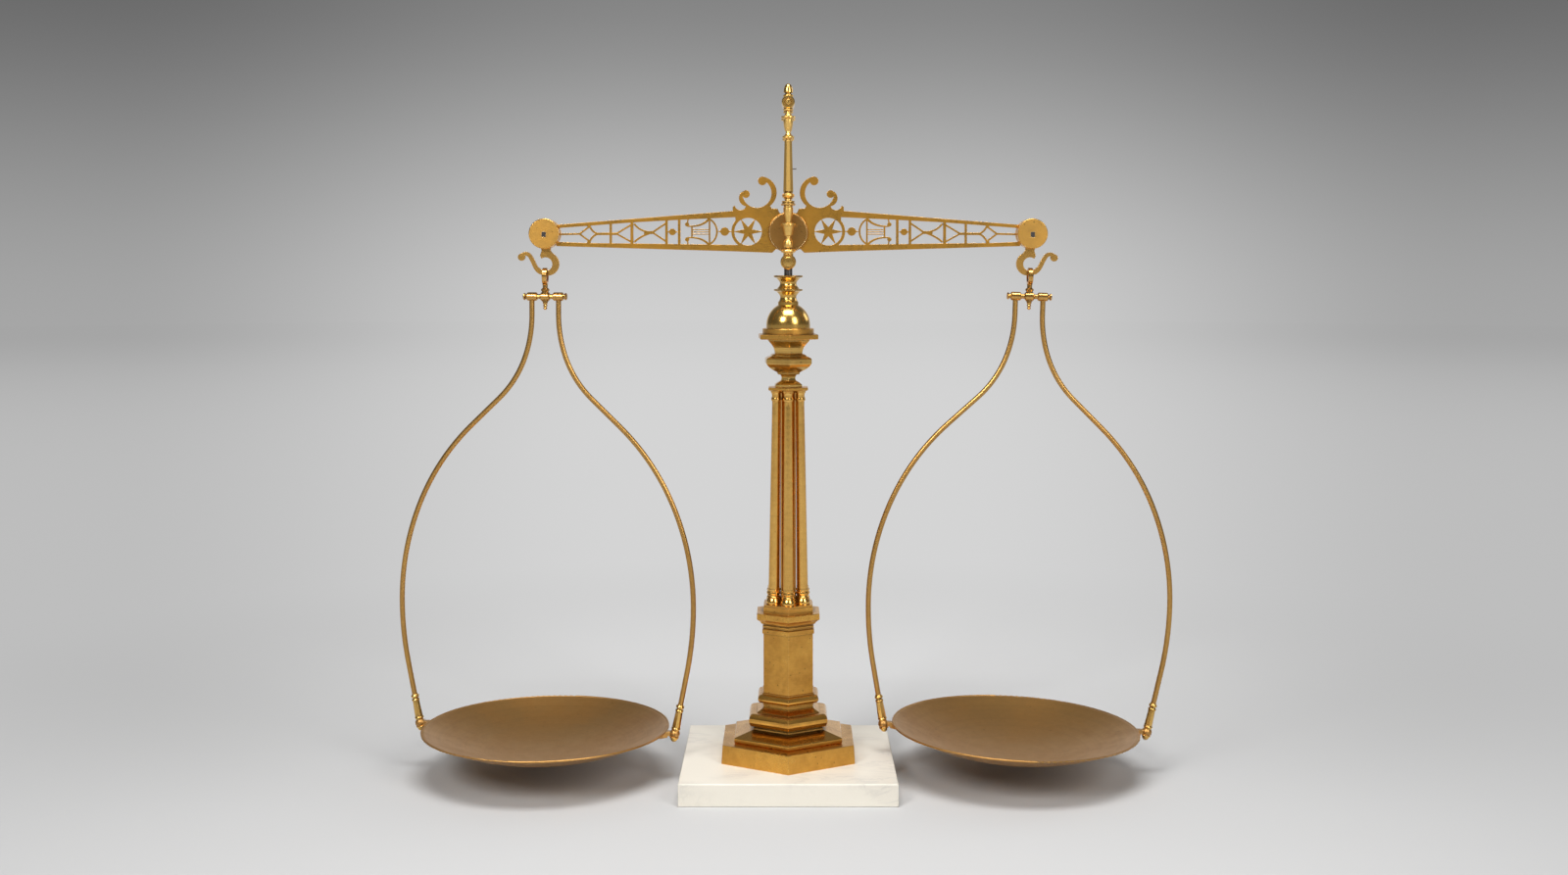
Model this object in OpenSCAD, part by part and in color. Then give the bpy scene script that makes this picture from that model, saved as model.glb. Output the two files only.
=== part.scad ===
// Beam balance with a pierced beam, hexagonal column and two hanging pans.
// Origin: centre of the slab's underside. +Z up, the beam along X, the front towards -Y.

/* [Marble base] */
// Side of the square slab
slab_w = 212; // [190:1:240]
// Thickness of the slab
slab_h = 22; // [16:1:30]

/* [Foot and pedestal] */
// Corner radius of the hexagonal foot plate
foot_r = 77; // [70:1:84]
// Thickness of the foot plate
foot_h = 18.5; // [12:0.5:24]
// Height of the stepped plinth
plinth_h = 47.2; // [42:0.2:56]
// Height of the plain pedestal shaft
shaft_h = 59.7; // [45:0.1:75]
// Corner radius of the pedestal shaft
shaft_r = 28.8; // [26:0.1:32]

/* [Column] */
// Height of the cluster of colonnettes
column_h = 216.5; // [180:0.5:250]
// Radius of a colonnette's shaft at its foot
colonnette_r1 = 5.8; // [5:0.1:6.2]
// Radius of a colonnette's shaft at its head
colonnette_r2 = 4.2; // [3.6:0.1:4.6]
// How far the urn is turned about the column
urn_turn = 4; // [-10:1:10]

/* [Suspension] */
// Height of the shears between their two bosses
shear_h = 160.9; // [150:0.1:180]
// Distance of each shear from the beam's mid plane
shear_y = 15; // [14:0.5:18]
// Radius of the steel tie rod
rod_steel_r = 4.2; // [3.6:0.1:4.6]

/* [Beam] */
// Distance from the centre knife edge to each end knife edge
arm_l = 247.3; // [230:0.1:300]
// Thickness of the beam plate
beam_t = 5; // [4:0.5:6]
// Radius of the discs at the beam's centre
disc_r = 20.5; // [19:0.5:22]
// Radius of the end boxes
box_r = 15.3; // [15:0.1:18]
// Width of the end boxes along the knife
box_w = 21; // [19:0.5:26]
// How far the end knife edges lie below the centre knife edge
knife_drop = 1.5; // [0.5:0.1:3]

/* [Pans] */
// Rim radius of each pan
pan_r = 125; // [110:1:132]
// Depth of each pan
pan_depth = 30; // [20:1:34]
// Thickness of the pan sheet
pan_t = 1.4; // [1:0.1:2]
// Height of the pan rim above the table
pan_z = 49; // [46:1:70]
// Radius of the bow rods
bow_r = 2.65; // [2:0.05:3]
// How far the left pan has turned on its swivel
left_turn = -9; // [-15:1:15]
// How far the right pan has turned on its swivel
right_turn = 0; // [-15:1:15]
// How far the left hook and its pan lean towards the column
left_lean = 0; // [-3:0.1:3]
// How far the right hook and its pan lean towards the column
right_lean = 1.8; // [-3:0.1:3]

/* [Hidden] */

$fn = 64;

brass = [0.78, 0.58, 0.27];
bright_brass = [0.85, 0.66, 0.32];
dull_bronze = [0.56, 0.46, 0.33];
steel = [0.25, 0.25, 0.27];
marble = [0.93, 0.91, 0.87];

// Small distances shared by many pieces
eps = 0.02;
gap = 0.05;
cos30 = cos(30);

// Heights of the stack, from the table up
foot_z = slab_h;
plinth_z = foot_z + foot_h;
shaft_z = plinth_z + plinth_h;
neck_h = 14.7;
cap_z = shaft_z + shaft_h + neck_h;
cap_h = 14.4;
column_z = cap_z + cap_h;
capital_z = column_z + column_h;
capital_h = 3.4;
urn_z = capital_z + capital_h;
urn_h = 48.9;
gallery_z = urn_z + urn_h;
gallery_h = 10.7;
dome_z = gallery_z + gallery_h;
dome_r = 22.35;
dome_h = 23.7;
collar_z = dome_z + dome_h;
collar_h = 30.1;
collar_r = 10.4;
post_gap = 6;
boss_low_r = 7.8;
boss_high_r = 6.5;
boss_half = 20.5;
boss_low_z = collar_z + collar_h + post_gap + boss_low_r;
boss_high_z = boss_low_z + shear_h;
// The centre knife edge, which the beam turns on
beam_z = boss_low_z + 30.1;
hang_z = beam_z - knife_drop;

bore_r = 6;
round_bore_r = 5.2;

// Knife section: half width, height of its V, and full height
knife_w = 2.4;
knife_v = 4.1;
knife_h = 5.2;
knife_half = 13.2;

// Swivel below each end knife edge
hook_t = 4.4;
hook_inner = [-0.5, -31];
hook_inner_r = 7;
eye_r = 8.6;
eye_hole_r = 6.3;
eye_w = 2.5;
// The eye hangs on the corners of the hook's mouth, where its strap meets the rising curve
mouth_rise = hook_inner_r - sqrt(pow(hook_inner_r, 2) - pow(eye_w - hook_inner[0], 2));
eye_drop = hook_inner_r - hook_inner[1] - mouth_rise + sqrt(pow(eye_hole_r - gap, 2) - pow(hook_t / 2, 2));
bar_drop = 63.9;
shank_r = 1.8;
barrel_r = 4.4;
pin_r = 2;
barrel_x0 = 8.4;
barrel_x1 = 19.1;

function lerp(a, b, t) = a + (b - a) * t;

// A run of profile points from a to b that bulges outward by d, or is hollowed if d is negative
function swell(a, b, d, n = 8) =
    [for (i = [0:n]) lerp(a, b, i / n) + [d * sin(180 * i / n), 0]];

// A round bead standing on radius r between heights z0 and z1
function bead(r, z0, z1, d, n = 8) =
    [for (i = [0:n]) [r + d * sin(180 * i / n), (z0 + z1) / 2 - (z1 - z0) / 2 * cos(180 * i / n)]];

// Points on a cubic curve
function curve(p, n = 10) =
    [for (i = [0:n]) let (t = i / n, s = 1 - t)
        s * s * s * p[0] + 3 * s * s * t * p[1] + 3 * s * t * t * p[2] + t * t * t * p[3]];

function unit(v) = v / norm(v);
function side(p, i) =
    let (a = p[max(i - 1, 0)], b = p[min(i + 1, len(p) - 1)], u = unit(b - a)) [-u[1], u[0]];

// Outline of a band along path p whose width runs from w0 to w1
function band(p, w0, w1) =
    let (n = len(p) - 1)
    concat([for (i = [0:n]) p[i] + side(p, i) * lerp(w0, w1, i / n) / 2],
           [for (i = [n:-1:0]) p[i] - side(p, i) * lerp(w0, w1, i / n) / 2]);

module ribbon(p, w0, w1) polygon(band(p, w0, w1));

module bar(a, b, w) polygon(band([a, b], w, w));

// A turned piece: profile points [radius, height] from bottom to top round a bore
module turned(p, bore = 0)
    rotate_extrude() polygon(concat([[bore, p[0][1]]], p, [[bore, p[len(p) - 1][1]]]));

// A mitred hexagonal piece with a corner to the front, from the same kind of profile
module mitred(p, bore = bore_r, turn = 0)
    rotate([0, 0, 30 + turn])
        rotate_extrude($fn = 6) polygon(concat([[bore, p[0][1]]], p, [[bore, p[len(p) - 1][1]]]));

// A cylinder along Y, centred on the origin
module along_y(r, half) rotate([90, 0, 0]) cylinder(r = r, h = 2 * half, center = true);

// A flat shape drawn in X and Z, with thickness t in Y
module upright(t) rotate([90, 0, 0]) translate([0, 0, -t / 2]) linear_extrude(t) children();

// Marble base

module slab_outline(w, h, c)
    polygon([[-w + c, 0], [w - c, 0], [w, c], [w, h - c], [w - c, h], [-w + c, h], [-w, h - c], [-w, c]]);

nut_pocket_r = 14;
nut_pocket_h = 9;
washer_h = 2;
arris = 0.7;

module marble_base() {
    color(marble)
        difference() {
            intersection() {
                upright(slab_w) slab_outline(slab_w / 2, slab_h, arris);
                rotate([0, 0, 90]) upright(slab_w) slab_outline(slab_w / 2, slab_h, arris);
            }
            translate([0, 0, -1]) cylinder(r = nut_pocket_r, h = nut_pocket_h + 1);
            cylinder(r = round_bore_r, h = slab_h + 1);
        }
}

// Foot, plinth and pedestal

foot_draft = 1.2;
foot_arris = 0.5;

module foot_plate() {
    color(brass)
        translate([0, 0, foot_z])
            mitred([[foot_r, 0], [foot_r - foot_draft, foot_h - foot_arris],
                    [foot_r - foot_draft - foot_arris, foot_h]]);
}

// Profile of the plinth for the stock size, stretched to plinth_h
plinth_profile = concat(
    [[61.2, 0], [62.4, 1.2], [62.4, 4.6], [61.6, 5.6]],
    [[43, 10.4], [40.6, 11.1], [40.6, 12.6], [39.8, 13.3], [39.8, 14.2]],
    bead(41.5, 14.2, 27, 4.2, 10),
    [[41.5, 27.2], [36.1, 27.4], [36.1, 28.2]],
    swell([35.4, 28.4], [28.8, 35], -2.4, 8),
    [[29.6, 35.4], [29.6, 36.6], [30.6, 36.9]],
    bead(31.2, 37, 45.4, 4.1, 8),
    [[30, 45.7], [30, 46.7], [29.2, 47.2]]);

module plinth() {
    color(brass)
        translate([0, 0, plinth_z]) mitred([for (q = plinth_profile) [q[0], q[1] * plinth_h / 47.2]]);
}

module pedestal() {
    neck = [[30.2, 0.2], [30.2, 4.4], [29.3, 5], [28.4, 5.4], [28.4, 6.4], [29.4, 6.8], [29.4, 8],
            [28.4, 8.6], [28.4, 9.2], [31.2, 10.4]];
    color(brass)
        translate([0, 0, shaft_z])
            mitred(concat([[shaft_r, 0], [shaft_r, shaft_h]],
                          [for (q = neck) [q[0] * shaft_r / 28.8, q[1] + shaft_h]],
                          swell([31.2, shaft_h + 10.4], [36, shaft_h + neck_h], -0.7, 4)));
}

module pedestal_cap() {
    color(brass)
        translate([0, 0, cap_z])
            mitred([[36.2, 0], [36.5, 0.3], [36.5, 5.8], [36.1, 6.2], [29.4, 6.4], [28.8, 7], [28.8, cap_h - 2],
                    [28, cap_h - 1.6], [28, cap_h]]);
}

// Clustered column

colonnette_count = 6;
colonnette_base_h = 15.5;
colonnette_head_h = 11;
base_swell = 2;
head_swell = 1.4;
colonnette_base_r = (colonnette_r1 + base_swell + 0.8) / sin(180 / colonnette_count);
colonnette_head_r = (colonnette_r2 + head_swell + 1.4) / sin(180 / colonnette_count);
core_r = min(colonnette_base_r - colonnette_r1 - base_swell, colonnette_head_r - colonnette_r2 - head_swell) - 0.4;

module column_core() {
    color(brass)
        translate([0, 0, column_z])
            difference() {
                cylinder(r = core_r, h = column_h);
                translate([0, 0, -1]) cylinder(r = round_bore_r, h = column_h + 2);
            }
}

// One colonnette: a turned base, a shaft that leans in as it rises, and a turned head
module colonnette() {
    r1 = colonnette_r1;
    r2 = colonnette_r2;
    head_z = column_h - colonnette_head_h;
    foot = [colonnette_base_r - 0.6, colonnette_base_h - 3];
    head = [colonnette_head_r, head_z + 2];
    lean = atan((foot[0] - head[0]) / (head[1] - foot[1]));
    translate([colonnette_base_r, 0, 0])
        turned(concat([[r1 + base_swell - 0.5, 0]], swell([r1 + 1.5, 0.6], [r1 + 0.4, 6], 0.5, 6),
                      bead(r1 + 0.3, 6.3, 8.5, 0.8, 6), [[r1 + 0.1, 8.8], [r1 + 0.1, 9.8]],
                      bead(r1 + 0.2, 10, 13.4, 1, 6), [[r1 + 0.2, 13.8], [r1 + 0.2, colonnette_base_h]]));
    translate([foot[0], 0, foot[1]]) rotate([0, -lean, 0])
        cylinder(r1 = r1, r2 = r2, h = (head[1] - foot[1]) / cos(lean));
    translate([colonnette_head_r, 0, head_z])
        turned(concat([[r2 + 0.1, 0]], bead(r2 + 0.2, 0.4, 4.2, 0.8, 6), [[r2 + 0.2, 4.5], [r2 + 0.2, 5.8]],
                      swell([r2 + 0.3, 6], [r2 + 1.2, 9.2], -0.3, 5),
                      [[r2 + head_swell, 9.4], [r2 + head_swell, colonnette_head_h]]));
}

module colonnettes() {
    color(bright_brass)
        translate([0, 0, column_z])
            for (i = [0:colonnette_count - 1]) rotate([0, 0, 360 / colonnette_count * i - 90]) colonnette();
}

module capital_plate() {
    color(brass)
        translate([0, 0, capital_z])
            mitred([[21.4, 0], [23.1, 0.9], [23.1, 2.8], [22.5, capital_h]]);
}

// Urn, gallery, dome and collar

urn_profile = concat(
    [[15.6, 0], [15.6, 2.6]],
    swell([14.6, 3.4], [9, 6.4], 0.5, 3),
    swell([8.6, 6.8], [9.4, 12.4], -1, 6),
    [[12.2, 13], [12.9, 13.6], [12.9, 14.8], [13.6, 15.2]],
    swell([13.8, 15.4], [25.9, 23.6], 1.9, 7),
    [[26.5, 24.6], [26.5, 28.6], [25.5, 29.8], [20.4, 31.6], [20, 32.6], [18.6, 33.2], [16.2, 33.8]],
    swell([15.8, 34.4], [23.2, 46.6], -1.8, 8),
    [[23.9, 47.2], [23.9, urn_h]]);

module urn() {
    color(bright_brass) translate([0, 0, urn_z]) mitred(urn_profile, bore_r, urn_turn);
}

module gallery_plate() {
    plate_h = 4.9;
    step_r = 26.2;
    color(bright_brass)
        translate([0, 0, gallery_z]) {
            mitred([[33.2, 0], [33.8, 0.6], [33.8, plate_h - 0.6], [33.2, plate_h]], bore_r, urn_turn);
            translate([0, 0, plate_h - 1])
                difference() {
                    turned([[step_r - 1, 0], [step_r - 1, 1], [step_r, 1.2], [step_r, gallery_h - plate_h + 0.5],
                            [step_r - 0.5, gallery_h - plate_h + 1]]);
                    translate([0, 0, -1]) cylinder(r = bore_r + 0.6, h = gallery_h);
                }
        }
}

module dome() {
    drum = dome_h - sqrt(pow(dome_r, 2) - pow(collar_r, 2));
    color(bright_brass)
        translate([0, 0, dome_z])
            difference() {
                union() {
                    cylinder(r = dome_r, h = drum);
                    translate([0, 0, drum]) sphere(r = dome_r);
                }
                translate([0, 0, -2 * dome_r]) cylinder(r = 2 * dome_r, h = 2 * dome_r);
                translate([0, 0, dome_h]) cylinder(r = 2 * dome_r, h = dome_r);
                translate([0, 0, -1]) cylinder(r = round_bore_r, h = dome_h + 2);
            }
}

collar_profile = concat(
    [[collar_r, 0], [collar_r, 3.2]],
    swell([9.4, 4.2], [11.2, 12.9], -2, 8),
    [[11.8, 13.6], [14.7, 14.7], [14.7, 16.1], [11.6, 16.6]],
    swell([11.2, 17.1], [11.6, 26.8], -3, 9),
    [[12.2, 27.5], [14.8, 28.4], [14.8, 29.7], [14.4, collar_h]]);

module collar() {
    color(bright_brass) translate([0, 0, collar_z]) turned(collar_profile, rod_steel_r);
}

// Tie rod through the whole stand; its bare top is the dark post under the suspension

rod_bottom = 2.5;
rod_in_boss = 5;
rod_top = boss_low_z - boss_low_r + rod_in_boss;
nut_r = 8;
nut_h = 7;

module tie_rod() {
    color(steel) translate([0, 0, rod_bottom]) cylinder(r = rod_steel_r, h = rod_top - rod_bottom);
}

// Flanged nut under the slab
module tie_nut() {
    color(steel)
        translate([0, 0, nut_pocket_h - nut_h])
            difference() {
                union() {
                    cylinder(r = nut_r, h = nut_h, $fn = 6);
                    translate([0, 0, nut_h - washer_h]) cylinder(r = nut_pocket_r - 1.5, h = washer_h);
                }
                translate([0, 0, -1]) cylinder(r = rod_steel_r, h = nut_h + 2);
            }
}

// Bosses and shears

tenon_r = 2.2;
tenon_l = 6;
screw_r = 1.6;
screw_l = 3;

// A horizontal boss with an end rim and recess, holed for the shears' tenons and the end screws
module boss(r, recess_r, tenon_side) {
    difference() {
        rotate([90, 0, 0])
            rotate_extrude()
                polygon([[0, -boss_half + 0.6], [recess_r, -boss_half + 0.6], [recess_r + 0.4, -boss_half],
                         [r - 0.9, -boss_half], [r, -boss_half + 0.9], [r, boss_half - 0.9],
                         [r - 0.9, boss_half], [recess_r + 0.4, boss_half], [recess_r, boss_half - 0.6],
                         [0, boss_half - 0.6]]);
        for (s = [-1, 1]) {
            translate([0, s * shear_y, tenon_side > 0 ? r - tenon_l : -r - 1])
                cylinder(r = tenon_r, h = tenon_l + 1);
            translate([0, s * boss_half, 0]) along_y(screw_r, screw_l);
        }
    }
}

module lower_boss() {
    color(brass)
        translate([0, 0, boss_low_z])
            difference() {
                boss(boss_low_r, 5.6, 1);
                translate([0, 0, -boss_low_r - 1]) cylinder(r = rod_steel_r, h = rod_in_boss + 1);
            }
}

finial_pin_r = 1.8;
finial_pin_l = 5;

module upper_boss() {
    color(brass)
        translate([0, 0, boss_high_z])
            difference() {
                boss(boss_high_r, 3.4, -1);
                translate([0, 0, boss_high_r - finial_pin_l]) cylinder(r = finial_pin_r, h = finial_pin_l + 1);
            }
}

// A screw with a low domed head and a centre dimple, its axis along -Y at the front
module boss_screw(head_r) {
    rotate([90, 0, 0])
        difference() {
            turned(concat([[screw_r, -screw_l + 0.6], [screw_r, 0], [head_r, 0], [head_r, 0.5]],
                          [[head_r - 0.5, 0.9], [0.8, 1.1], [0.8, 0.5]]));
            translate([0, 0, 0.5]) cylinder(r = 0.8, h = 2);
        }
}

module screw_pair(z, head_r) {
    color(brass)
        for (s = [0, 180]) rotate([0, 0, s]) translate([0, -boss_half + 0.6, z]) boss_screw(head_r);
}

module lower_boss_screws() screw_pair(boss_low_z, 4.9);

module upper_boss_screws() screw_pair(boss_high_z, 2.7);

// Spindle profile of a shear, heights measured from the lower boss's centre
shear_low = concat(
    [[5, 4], [5, 8.6], [5.4, 9.2]],
    bead(6.2, 9.4, 12.4, 1.2, 6),
    [[4, 12.9]],
    bead(2.9, 13.3, 22.3, 1.7, 8),
    [[2.7, 22.8], [2.7, 25.8], [3.9, 26.6]],
    swell([4, 26.8], [5.8, 36], -0.1, 4),
    [[6, 36.4], [7.6, 36.9], [7.6, 38.6], [5, 39.2]],
    swell([3.2, 39.4], [4.4, 47.5], -0.3, 5),
    swell([4.4, 48], [4.9, 54.6], 0.2, 4),
    [[4.4, 55.6], [4.4, 57.2], [7.3, 57.8], [7.3, 58.6], [5.3, 59.2], [5.3, 60], [6.4, 60.4], [6.4, 61.2],
     [3.4, 61.8], [3.2, 63.4]],
    [[3.6, 63.8], [6.2, 66.4], [6.2, 67.6], [3.6, 70.2], [3.4, 71.2]]);
shear_high = concat(
    [[3.4, -39.4], [3.4, -38.2], [4.2, -37.4], [6.1, -35.8], [6.1, -34.8], [4.4, -33.6]],
    swell([3.6, -33], [3.6, -26.2], -1.4, 6),
    swell([3.7, -25.8], [4.9, -17.4], 0.3, 5),
    [[5.2, -16.8], [7.2, -15.8], [7.2, -14.4], [5, -14.1], [4, -13.6]],
    swell([3.8, -13.2], [2.6, -9], -0.3, 5),
    bead(3.8, -8.8, -6.6, 1.4, 6),
    [[4.6, -6.2], [4.6, -3.4]]);
shear_shaft_z0 = 71.2;
shear_shaft_z1 = -39.4;
octagon = 1 / cos(22.5);

// Front shear; the back one is the same piece turned half round
module shear() {
    translate([0, -shear_y, 0])
        difference() {
            union() {
                translate([0, 0, boss_low_z]) turned(shear_low);
                translate([0, 0, boss_high_z]) turned(shear_high);
                translate([0, 0, boss_low_z + shear_shaft_z0 - eps])
                    rotate([0, 0, 22.5])
                        cylinder(r1 = 4.95 * octagon, r2 = 3.7 * octagon,
                                 h = shear_h + shear_shaft_z1 - shear_shaft_z0 + 2 * eps, $fn = 8);
                translate([0, 0, boss_low_z + boss_low_r - tenon_l]) cylinder(r = tenon_r, h = tenon_l);
                translate([0, 0, boss_high_z - boss_high_r]) cylinder(r = tenon_r, h = tenon_l - 1);
            }
            // Coped ends that saddle the bosses, outside the tenons
            for (b = [[boss_low_z, boss_low_r], [boss_high_z, boss_high_r]])
                translate([0, 0, b[0]])
                    difference() {
                        along_y(b[1], boss_half);
                        cylinder(r = tenon_r, h = 2 * boss_half, center = true);
                    }
            // Window and socket for the knife end and its bearing
            translate([-window_w, shear_y - knife_half - 0.4, beam_z])
                cube([2 * window_w, knife_half - 7, window_h]);
            translate([0, shear_y - bearing_out, beam_z]) rotate([-90, 0, 0])
                cylinder(r = bearing_r, h = bearing_out);
        }
}

window_w = 3;
window_h = 6.2;
bearing_r = 3.2;
bearing_in = 9.6;
bearing_out = 14.6;

module shear_front() {
    color(bright_brass) difference() {
        shear();
        translate([0, -shear_y, index_z]) rotate([0, 90, 0]) cylinder(r = index_r, h = index_l);
    }
}

module shear_back() {
    color(bright_brass) rotate([0, 0, 180]) shear();
}

// Half-round steel plug with a V that the centre knife edge rests in
module bearing() {
    translate([0, 0, beam_z])
        difference() {
            translate([0, -bearing_out, 0]) rotate([-90, 0, 0])
                cylinder(r = bearing_r, h = bearing_out - bearing_in);
            translate([-5, -bearing_out - 1, 1.2]) cube([10, 10, 5]);
            upright(4 * bearing_out) polygon([[0, -gap], [4, 2.3 - gap], [4, 5], [-4, 5], [-4, 2.3 - gap]]);
        }
}

module bearing_front() {
    color(steel) bearing();
}

module bearing_back() {
    color(steel) rotate([0, 0, 180]) bearing();
}

// Small pin standing out of the front shear's right side
index_r = 0.6;
index_l = 8.2;
index_z = boss_low_z + 93.7;
index_in = 1.5;

module index_pin() {
    color(steel)
        translate([index_in, -shear_y, index_z]) rotate([0, 90, 0]) cylinder(r = index_r, h = index_l - index_in);
}

module acorn_finial() {
    color(bright_brass)
        translate([0, 0, boss_high_z])
            difference() {
                union() {
                    turned(concat([[4, 3]], bead(4, 6.4, 9.2, 1.3, 6), [[3.2, 9.5], [3.2, 10.4], [4.5, 10.9]],
                                  [for (i = [0:8]) [4.75 * pow(cos(i * 10), 0.75), 11.3 + 8.8 * sin(i * 10)]],
                                  [[0.4, 20.3]]));
                    translate([0, 0, boss_high_r - finial_pin_l]) cylinder(r = finial_pin_r, h = finial_pin_l);
                }
                difference() {
                    along_y(boss_high_r, boss_half);
                    cylinder(r = finial_pin_r, h = 4 * boss_high_r, center = true);
                }
            }
}

// Beam
// Arm shapes are drawn at [distance out from the centre, height above the centre knife edge]
// for an arm of arm_stock; stretch carries them out to the real arm length

arm_stock = 245.7;
arm_start = 1.6;
stretch = (arm_l - arm_start) / arm_stock;
wheel = [39.2, 0.6];
wheel_r = 14;
wheel_ring = 3;

module arm_plate() {
    polygon([[-3, -16], [11.2, -17.4], [14.7, -20.9], [54.7, -19.4], [234, -14.1], [234, 7.5], [54.7, 21.6],
             [54.7, 22], [9.2, 23.9], [7.2, 19.6], [-3, 18]]);
}

// Raised shoulder with its leaf point, then two scrolls round one bowl
scroll_bowl = [30.2, 39.6];
scroll_bowl_r = 14.8;

module arm_scrolls() {
    difference() {
        polygon([[54.8, 18], [54.8, 25.8], [52.4, 27.3], [47, 27.3], [43.2, 27.3], [43.2, 18]]);
        translate([46.9, 28.3]) circle(5.9);
    }
    difference() {
        union() {
            polygon([[43.4, 18], [43.4, 23], [40.6, 27.5], [17, 27.5], [15.2, 24], [9.2, 23.9], [7.2, 18]]);
            translate([26.7, 40.1]) circle(16.6);
            translate([40.2, 34.6]) circle(8.3);
        }
        translate(scroll_bowl) circle(scroll_bowl_r);
        translate([24.7, 44]) square([20, 15]);
    }
    translate([24.7, 52.1]) circle(4.4);
    translate([41.4, 38.8]) circle(3.9);
}

module arm_opening() {
    polygon([[232, 4.2], [232, -9.8], [204.7, -10.9], [154.7, -11.4], [104.7, -12.1], [49.7, -12.9],
             [52.2, 15.3], [104.7, 12.8], [154.7, 10.1]]);
}

module almond(c, r, reach) {
    translate(c) {
        circle(r);
        polygon([[-reach, 0], [0, r * 0.55], [reach, 0], [0, -r * 0.55]]);
    }
}

// Fretwork from the end box inwards: bar, lozenge, arrow, crossed curves and ball
module fret_outer() {
    axis = -1.7;
    bar([233, -2.2], [209.5, axis], 1.9);
    for (s = [1, -1]) {
        bar([210.5, axis], [199.8, axis + s * 7.9], 1.7);
        ribbon(curve([[200.6, axis + s * 8.4], [198.6, axis + s * 4.2], [196.5, axis + s * 1.6], [192, axis]], 7),
               1.7, 2);
        bar([201, axis + s * 7.4], [201, s > 0 ? 6.9 : -11.2], 3.4);
        bar([173, axis + 0.2], [157.8, axis + s * 8.8 + 0.6], 1.7);
        ribbon(curve([[155, axis + s * 9.3 + 1], [150.5, axis + s * 4], [144.5, axis + s * 1.6 + 0.7],
                      [137, axis + 1.3]], 9), 1.8, 1.9);
        bar([136.4, axis + 1.5], [121.8, axis + s * 9.8 + 1.6], 1.8);
    }
    bar([194, axis], [172, axis + 0.1], 2.5);
    bar([145, axis + 1.2], [134.6, axis + 1.4], 3);
    bar([178.8, 9.6], [178.8, -12], 2.3);
    bar([157.3, 11], [157.3, -12.4], 2.8);
    bar([122.1, 12.6], [122.1, -12.6], 2.5);
    bar([109.2, 13.2], [109.2, -12.8], 2.6);
    almond([116.1, 0.3], 3.4, 6.2);
}

// Fretwork from the lyre in to the wheel
module fret_inner() {
    lyre = 0.3;
    for (s = [1, -1]) {
        tip = lyre + s * 7.6;
        translate([101.2, tip]) circle(2.1);
        bar([100.9, tip + s], [100.2, lyre + s * 13], 1.3);
        ribbon(curve([[101.2, lyre + s * 5.9], [95, lyre + s * 5.2], [84.5, lyre + s * 6], [79, lyre + s * 13.2]], 10),
               1.3, 2.4);
    }
    bar([96.3, lyre + 6], [96.3, lyre - 6], 1.5);
    for (k = [-1:1]) bar([96.5, lyre + k * 2.3], [77.6, lyre + k * 2.3], 0.9);
    bar([78.4, 14.2], [78.4, -12.8], 1.6);
    intersection() {
        translate([85.3, 0.6]) difference() {
            circle(15.4);
            circle(13.6);
        }
        translate([60, -14]) square([17.6, 29]);
    }
    almond([62.9, 0.7], 4.3, 7.4);
}

module star(c, r_tip, r_root)
    translate(c)
        polygon([for (k = [0:11]) (k % 2 == 0 ? r_tip : r_root) * [cos(30 * k), sin(30 * k)]]);

module arm_face() {
    difference() {
        union() {
            arm_plate();
            arm_scrolls();
        }
        arm_opening();
    }
    fret_outer();
    fret_inner();
    translate(wheel) circle(wheel_r + wheel_ring);
}

module arm_shape() {
    difference() {
        arm_face();
        difference() {
            translate(wheel) circle(wheel_r);
            star(wheel, 15.6, 4.7);
        }
    }
}

box_tenon = 8.6;

// Solid end of the arm that is held in the end box
module arm_tenon()
    intersection() {
        translate([arm_l, -knife_drop]) circle(box_r - 0.4);
        translate([arm_l - box_r, -box_r]) square([box_r - box_tenon, 2 * box_r]);
    }

module knife_section() polygon([[0, 0], [knife_w, knife_v], [knife_w, knife_h], [-knife_w, knife_h], [-knife_w, knife_v]]);

pointer_t = 1.8;
pointer_w = 2.6;
pointer_root = 11;
pointer_base = 18;
pointer_top = boss_high_z - boss_high_r - 6 - beam_z;

module beam_plate() {
    color(brass)
        translate([0, 0, beam_z])
            difference() {
                union() {
                    for (s = [0, 1]) mirror([s, 0, 0])
                        upright(beam_t) {
                            translate([arm_start, 0]) scale([stretch, stretch]) arm_shape();
                            arm_tenon();
                        }
                }
                upright(2 * beam_t) knife_section();
                translate([-pointer_w, -pointer_t / 2, pointer_root]) cube([2 * pointer_w, pointer_t, 20]);
            }
}

module disc() {
    t = 3;
    translate([0, -beam_t / 2, beam_z])
        difference() {
            rotate([90, 0, 0])
                turned([[disc_r, 0], [disc_r, t - 1.3], [disc_r - 0.5, t - 0.4], [disc_r - 1.3, t],
                        [disc_r - 1.7, t - 0.5], [disc_r - 2, t - 0.3]]);
            upright(4 * beam_t) knife_section();
        }
}

module disc_front() {
    color(brass) disc();
}

module disc_back() {
    color(brass) rotate([0, 0, 180]) disc();
}

module centre_knife() {
    color(steel) translate([0, 0, beam_z]) upright(2 * knife_half) knife_section();
}

module pointer() {
    color(steel)
        translate([0, 0, beam_z])
            upright(pointer_t)
                polygon([[-pointer_w, pointer_root], [pointer_w, pointer_root], [pointer_w, pointer_base + 4],
                         [0.9, pointer_top - 2], [0, pointer_top], [-0.9, pointer_top - 2],
                         [-pointer_w, pointer_base + 4]]);
}

// End boxes, drawn for the right side with the knife edge at the origin

slot_w = 7.3;
slot_y = 2.9;
slot_top = 8.6;
end_knife_w = 2.1;
end_knife_h = 5.2;
end_knife_v = 2.6;
end_knife_low = -3.6;
box_arris = 0.6;

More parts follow.
